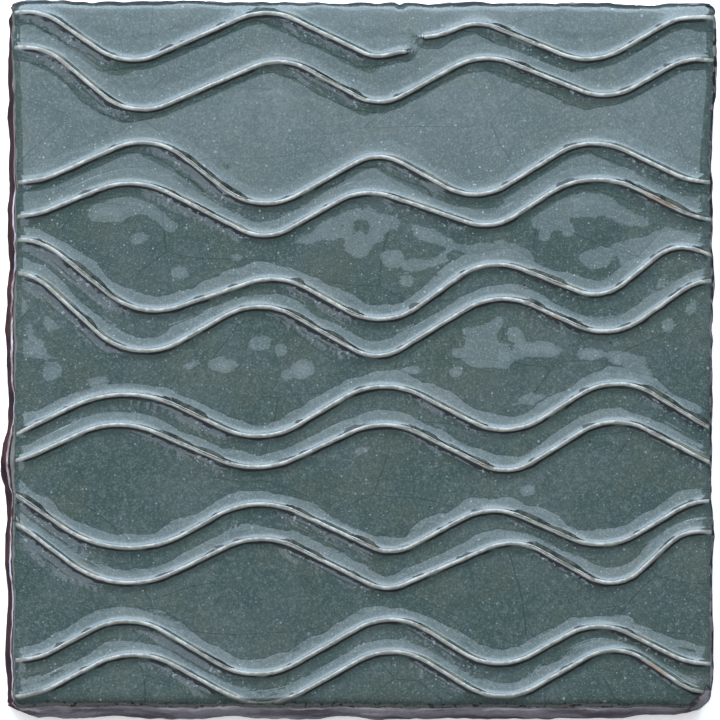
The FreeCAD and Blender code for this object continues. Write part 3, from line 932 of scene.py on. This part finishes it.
# %% Clay, with slip on the left side
CLAY_DARK = (0.110, 0.088, 0.096, 1)
CLAY_MAUVE = (0.270, 0.250, 0.275, 1)
CLAY_PINK_HIGHLIGHT = (0.46, 0.40, 0.42, 1)
CLAY_GRAIN = (0.035, 0.028, 0.030, 1)
CLAY_RIGHT = (0.085, 0.062, 0.060, 1)
SLIP_DARK = (0.030, 0.006, 0.005, 1)
SLIP_MAROON = (0.100, 0.028, 0.018, 1)
RIDGE_HIGHLIGHT_GREY = (0.38, 0.31, 0.35, 1)
RIDGE_HIGHLIGHT_PALE = (0.80, 0.76, 0.84, 1)
streaks = cloud(5.5, 3.0, 2.9, 0.6, (0.35, 0.35, 1.6))
clay = blend(rise_over(streaks, 0.34, 0.56), CLAY_DARK, CLAY_MAUVE)
# Pink on the raised knife streaks is a painted highlight.
clay = blend(rise_over(streaks, 0.56, 0.70), clay, CLAY_PINK_HIGHLIGHT)
clay = blend(rise_over(cloud(0.9, 3.0, 1.1), 0.45, 0.75, 0.35), clay, CLAY_GRAIN)
slip = blend(patches(0.35, 0.65, 4.5, 3.0, 0.9), SLIP_DARK, SLIP_MAROON)
on_left = rise_over(sum_of(x_mm, strays(2.0, 6.0, 2.0, 5.2)), -74.0, -74.6)
clay = blend(on_left, clay, slip)
clay = blend(times(on_right, 0.45), clay, CLAY_RIGHT)
# A pale lavender line a little below the rim, broken into patches: a painted highlight.
ridge_highlight = times(hump(rim_at, -1.80, -1.58, -1.18, -1.00), patches(0.28, 0.50, 5.0, 3.0, 14.2))
ridge_highlight = times(ridge_highlight, sum_of(0.85, times(on_bottom, -0.45)))
clay = blend(ridge_highlight, clay, blend(patches(0.44, 0.58, 9.0, 2.0, 99.1), RIDGE_HIGHLIGHT_GREY, RIDGE_HIGHLIGHT_PALE))
print("with the clay", len(tree.nodes), "nodes")

# %% Where the glaze stops: along the rim, and round the bare bottom right corner
BARE_CORNER = (0.0765, -0.0775, 0.010)
CORNER_EDGE_DARK = (0.030, 0.026, 0.026, 1)
low_right = rise_over(y_mm, -45, -62)
bare_from = sum_of(times(on_top, -2.2), -0.45, times(on_right, sum_of(1.10, times(low_right, 0.45))))
bare = rise_over(rim_at, bare_from, less(bare_from, 0.3))
from_corner = add("VectorMath", {0: where, 1: BARE_CORNER}, operation="DISTANCE").outputs["Value"]
from_corner = sum_of(times(from_corner, 1 / MM), strays(4.5, 2.0, 2.0, 71.3, 0.6))
bare = larger(bare, rise_over(from_corner, 7.6, 7.0))
colour = blend(bare, glaze, clay)
colour = blend(times(hump(from_corner, 6.6, 7.1, 7.5, 8.0), 0.75), colour, CORNER_EDGE_DARK)
print("with the bare clay", len(tree.nodes), "nodes")

# %% Dark pitted seam under the rim, its dots painted shade in the groove, and pits on the right and bottom edges
SEAM_SHADE_AND_PIT_BLACK = (0.006, 0.005, 0.005, 1)
seam = times(hump(rim_at, -1.00, -0.85, -0.60, -0.40), patches(0.40, 0.50, 1.1, 2.0, 3.9), less(1.0, on_top))
seam = times(seam, less(1.0, times(on_bottom, patches(0.62, 0.50, 3.0, 2.0, 61.9))))
right_pits = times(on_right, rise_over(rim_at, 0.70, 0.35), patches(0.44, 0.54, 1.7, 3.0, 81.1))
low_pits = times(hump(rim_at, -0.7, -0.4, 0.5, 0.9), patches(0.56, 0.64, 1.2, 3.0, 85.3), on_bottom, 0.8)
colour = blend(larger(seam, right_pits, low_pits), colour, SEAM_SHADE_AND_PIT_BLACK)
tree.links.new(colour, shader.inputs["Base Color"])
print("colour takes", len(tree.nodes), "nodes")

# %% [markdown]
# ### Gloss and fine relief
# Fired glaze is as smooth as glass, so its roughness is near nothing and the studio's light
# shows in it with crisp edges. A fine orange-peel ripple frays those edges, as on the real
# tile. Bare clay is dull and grainy, and the slip on the left side has a soft shine. These
# heights are hundredths of a millimetre, too fine for the mesh, so they are bump.

# %% Roughness
CLAY_ROUGH = 0.62
SLIP_LESS_ROUGH = -0.14
clay_rough = sum_of(CLAY_ROUGH, times(on_left, SLIP_LESS_ROUGH))
open_rough = sum_of(0.015, times(mottle, 0.002))
dulled = times(larger(dashes, crease, times(shade_hairline, 0.6), lens_mark), at_line)
line_rough = sum_of(open_rough, times(crest, 0.06), times(dulled, 0.45))
glaze_rough = sum_of(line_rough, times(thin_rim, 0.15))
rough = add("Mix", {0: bare, 2: glaze_rough, 3: clay_rough}, data_type="FLOAT").outputs[0]
tree.links.new(rough, shader.inputs["Roughness"])
shader.inputs["IOR"].default_value = 1.55
print("with the roughness", len(tree.nodes), "nodes")

# %% Bump, with every height in mm
peel = times(cloud(3.4, 1.0, 0.4), 0.010)
fray = times(cloud(0.9, 1.0, 6.1), sum_of(0.0036, times(attribute("tipped"), 0.0040)))
banked = times(math_of("MINIMUM", larger(lip, 0.0), 1.5), 0.075)
open_relief = sum_of(peel, fray, banked)
ledge_height = times(larger(less(ledge_width, larger(near_line, 0.40)), 0.0), above, 0.60)
line_relief = sum_of(open_relief, ledge_height)
glaze_relief = sum_of(line_relief, times(larger(rim_lip, 0.0), -0.11))
clay_relief = sum_of(times(cloud(0.8, 2.0, 3.5, 0.6), 0.16), times(streaks, 0.5))
on_clay = rise_over(rim, -0.35, -0.65)
relief = add("Mix", {0: on_clay, 2: glaze_relief, 3: clay_relief}, data_type="FLOAT").outputs[0]
bump = add("Bump", {"Height": relief, "Strength": 1.0, "Distance": MM})
tree.links.new(bump.outputs[0], shader.inputs["Normal"])
print("the whole material takes", len(tree.nodes), "nodes")

# %% [markdown]
# ### Lighter copies of the material
# Most of the face is far from the rim, and about half of it is far from a line. There the
# nodes for the clay and for the lines show nothing and only cost time, so those faces wear
# a copy that leaves them out. The masks are all 0 where one copy meets the next, so no
# border shows.

# %% Two copies that take their colour, roughness and height from earlier nodes
def in_copy(copy, socket):
    """The same output of the same node in a copied node tree."""
    place = [output == socket for output in socket.node.outputs].index(True)
    return copy.nodes[socket.node.name].outputs[place]


def light_copy(name, colour_from, rough_from, relief_from):
    """A copy of the material that leaves out all that comes after these three outputs."""
    made = material.copy()
    made.name = name
    copy = made.node_tree
    copied_shader = copy.nodes[shader.name]
    copy.links.new(in_copy(copy, colour_from), copied_shader.inputs["Base Color"])
    copy.links.new(in_copy(copy, rough_from), copied_shader.inputs["Roughness"])
    copy.links.new(in_copy(copy, relief_from), copy.nodes[bump.name].inputs["Height"])
    return made


mesh.materials.append(material)
mesh.materials.append(light_copy("crackle_glaze_lines", line_glaze, line_rough, line_relief))
mesh.materials.append(light_copy("crackle_glaze_open", open_glaze, open_rough, open_relief))
print([worn_by.name for worn_by in mesh.materials])

# %% Give each face the lightest copy that shows all it needs
RIM_ZONE = 5.0
LINE_ZONE = 3.2
rim_gaps = mesh.attributes["rim_gap"].data
line_gaps = mesh.attributes["line_near"].data
for polygon in mesh.polygons:
    if min(rim_gaps[v].value for v in polygon.vertices) > RIM_ZONE:
        far_from_line = min(line_gaps[v].value for v in polygon.vertices) > LINE_ZONE
        polygon.material_index = 2 if far_from_line else 1
counts = [sum(polygon.material_index == slot for polygon in mesh.polygons) for slot in range(3)]
print("faces with the whole material, without clay, and without clay and lines:", counts)

# %% [markdown]
# ## Floor, light and camera
# The tile lies on a plain white floor. A large softbox stands above and beyond its top edge:
# its mirror image is the pale zone at the top of the face and the pale band above every
# line. It is made of three cards, because its near end is dimmer than the rest, and the
# other two grow brighter away from that end. A dim card at the lower left makes the faint
# lavender bands. Lamps could light the tile as well, but only cards show in the glaze.

# %% The floor
FLOOR_SIZE = 3.0
WHITE = (1.0, 1.0, 1.0, 1)
FLOOR_LIT = (0.62, 0.62, 0.64, 1)
FLOOR_IN_GLOSS = (0.10, 0.10, 0.11, 1)
FLOOR_GLOW = (0.40, 0.40, 0.40, 1)
bm = bmesh.new()
bmesh.ops.create_grid(bm, x_segments=1, y_segments=1, size=FLOOR_SIZE)
floor_mesh = bpy.data.meshes.new("floor")
bm.to_mesh(floor_mesh)
bm.free()
floor = bpy.data.objects.new("floor", floor_mesh)
bpy.context.scene.collection.objects.link(floor)
floor_material = bpy.data.materials.new("plain_white_floor")
floor_material.use_nodes = True
tree = floor_material.node_tree
floor_shader = tree.nodes["Principled BSDF"]
floor_shader.inputs["Roughness"].default_value = 0.9
floor_shader.inputs["Specular IOR Level"].default_value = 0.0
path = add("LightPath")
floor_tone = blend(path.outputs["Is Camera Ray"], FLOOR_LIT, WHITE)
floor_tone = blend(path.outputs["Is Glossy Ray"], floor_tone, FLOOR_IN_GLOSS)
tree.links.new(floor_tone, floor_shader.inputs["Base Color"])
floor_glow = blend(path.outputs["Is Camera Ray"], (0, 0, 0, 1), FLOOR_GLOW)
tree.links.new(floor_glow, floor_shader.inputs["Emission Color"])
floor_shader.inputs["Emission Strength"].default_value = 1.0
floor_mesh.materials.append(floor_material)
print("floor", 2 * FLOOR_SIZE, "m square")

# %% The softbox, in three cards, and the side card
CARD_HEIGHT = 1.214
NEAR_END = (0.13, 0.17, CARD_HEIGHT)
EVEN_REACH = 0.28
RISING_REACH = 1.6
EVEN_GLOW = 1.25
PEAK_GLOW = 3.4
SKY = (1.64, 1.97, 2.36, 1)
LAVENDER = (1.6, 1.7, 2.1, 1)


def card(name, low, high, colour, strength):
    """A level glowing card over the tile, seen in reflections but not by the camera."""
    global tree
    bm = bmesh.new()
    bmesh.ops.create_grid(bm, x_segments=1, y_segments=1, size=0.5)
    size = Vector(high) - Vector(low)
    bmesh.ops.scale(bm, vec=(size.x, size.y, 1), verts=bm.verts)
    middle = (Vector(high) + Vector(low)) / 2
    bmesh.ops.translate(bm, vec=(middle.x, middle.y, CARD_HEIGHT), verts=bm.verts)
    card_mesh = bpy.data.meshes.new(name)
    bm.to_mesh(card_mesh)
    bm.free()
    made = bpy.data.objects.new(name, card_mesh)
    bpy.context.scene.collection.objects.link(made)
    glow = bpy.data.materials.new(name + "_glow")
    glow.use_nodes = True
    tree = glow.node_tree
    tree.nodes.remove(tree.nodes["Principled BSDF"])
    emission = add("Emission", {"Color": colour, "Strength": strength() if callable(strength) else strength})
    tree.links.new(emission.outputs[0], tree.nodes["Material Output"].inputs["Surface"])
    card_mesh.materials.append(glow)
    made.visible_camera = False
    made.visible_shadow = False
    print(name, "is", round(size.x, 2), "x", round(size.y, 2), "m")


def brighter_away():
    """Even close to the spot at the near end, and brighter the farther away from it."""
    place = add("TexCoord").outputs["Object"]
    away = add("VectorMath", {0: place, 1: NEAR_END}, operation="DISTANCE").outputs["Value"]
    return sum_of(rise_over(away, EVEN_REACH, RISING_REACH, PEAK_GLOW - EVEN_GLOW), EVEN_GLOW)


card("near_softbox", (-0.50, 0.169), (0.50, 0.245), SKY, 0.92)
card("middle_softbox", (-0.50, 0.245), (0.50, 0.65), SKY, brighter_away)
card("far_softbox", (-1.35, 0.65), (0.95, 4.8), SKY, brighter_away)
card("side_card", (-0.90, -0.62), (-0.10, -0.08), LAVENDER, 1.0)

# %% A lamp that only lights, and the room
LAMP_PLACE = Vector((-0.4, 0.3, 1.6))
ROOM_LIT = (0.22, 0.22, 0.22, 1)
ROOM_IN_GLOSS = (0.10, 0.11, 0.12, 1)
lamp = bpy.data.lights.new("overhead", "AREA")
lamp.shape = "SQUARE"
lamp.size = 1.2
lamp.energy = 12.0
overhead = bpy.data.objects.new("overhead", lamp)
overhead.location = LAMP_PLACE
overhead.rotation_euler = (-LAMP_PLACE).to_track_quat("-Z", "Y").to_euler()
overhead.visible_glossy = False
bpy.context.scene.collection.objects.link(overhead)
world = bpy.data.worlds.new("studio")
world.use_nodes = True
bpy.context.scene.world = world
tree = world.node_tree
path = add("LightPath")
room = blend(path.outputs["Is Glossy Ray"], ROOM_LIT, ROOM_IN_GLOSS)
room = blend(path.outputs["Is Camera Ray"], room, WHITE)
tree.links.new(room, tree.nodes["Background"].inputs["Color"])
print("lamp of", lamp.energy, "W at", [round(v, 2) for v in LAMP_PLACE])

# %% [markdown]
# ### The camera
# The photograph is taken from almost straight above with a long lens, tipped a little to the
# left and down, so that the left and bottom sides show as thin strips.

# %% Camera
TIP_LEFT = math.radians(5.5)
TIP_DOWN = math.radians(6.5)
DISTANCE = 3.0
ROLL = math.radians(0.29)
LENS = 701.3
aim = Vector((-1.05, -1.27, THICKNESS)) * MM
towards = Vector((-math.sin(TIP_LEFT), -math.sin(TIP_DOWN), 0))
towards.z = math.sqrt(1 - towards.length_squared)
right = Vector((1, 0, 0)) - towards * towards.x
right.normalize()
up = towards.cross(right)
turned = Matrix((right, up, towards)).transposed()
turned = turned @ Matrix.Rotation(ROLL, 3, "Z")
camera_data = bpy.data.cameras.new("camera")
camera_data.sensor_width = 36.0
camera_data.lens = LENS
camera = bpy.data.objects.new("camera", camera_data)
camera.matrix_world = Matrix.Translation(aim + towards * DISTANCE) @ turned.to_4x4()
bpy.context.scene.collection.objects.link(camera)
bpy.context.scene.camera = camera
bpy.context.scene.view_settings.view_transform = "Standard"
print("camera", DISTANCE, "m away with a", LENS, "mm lens")
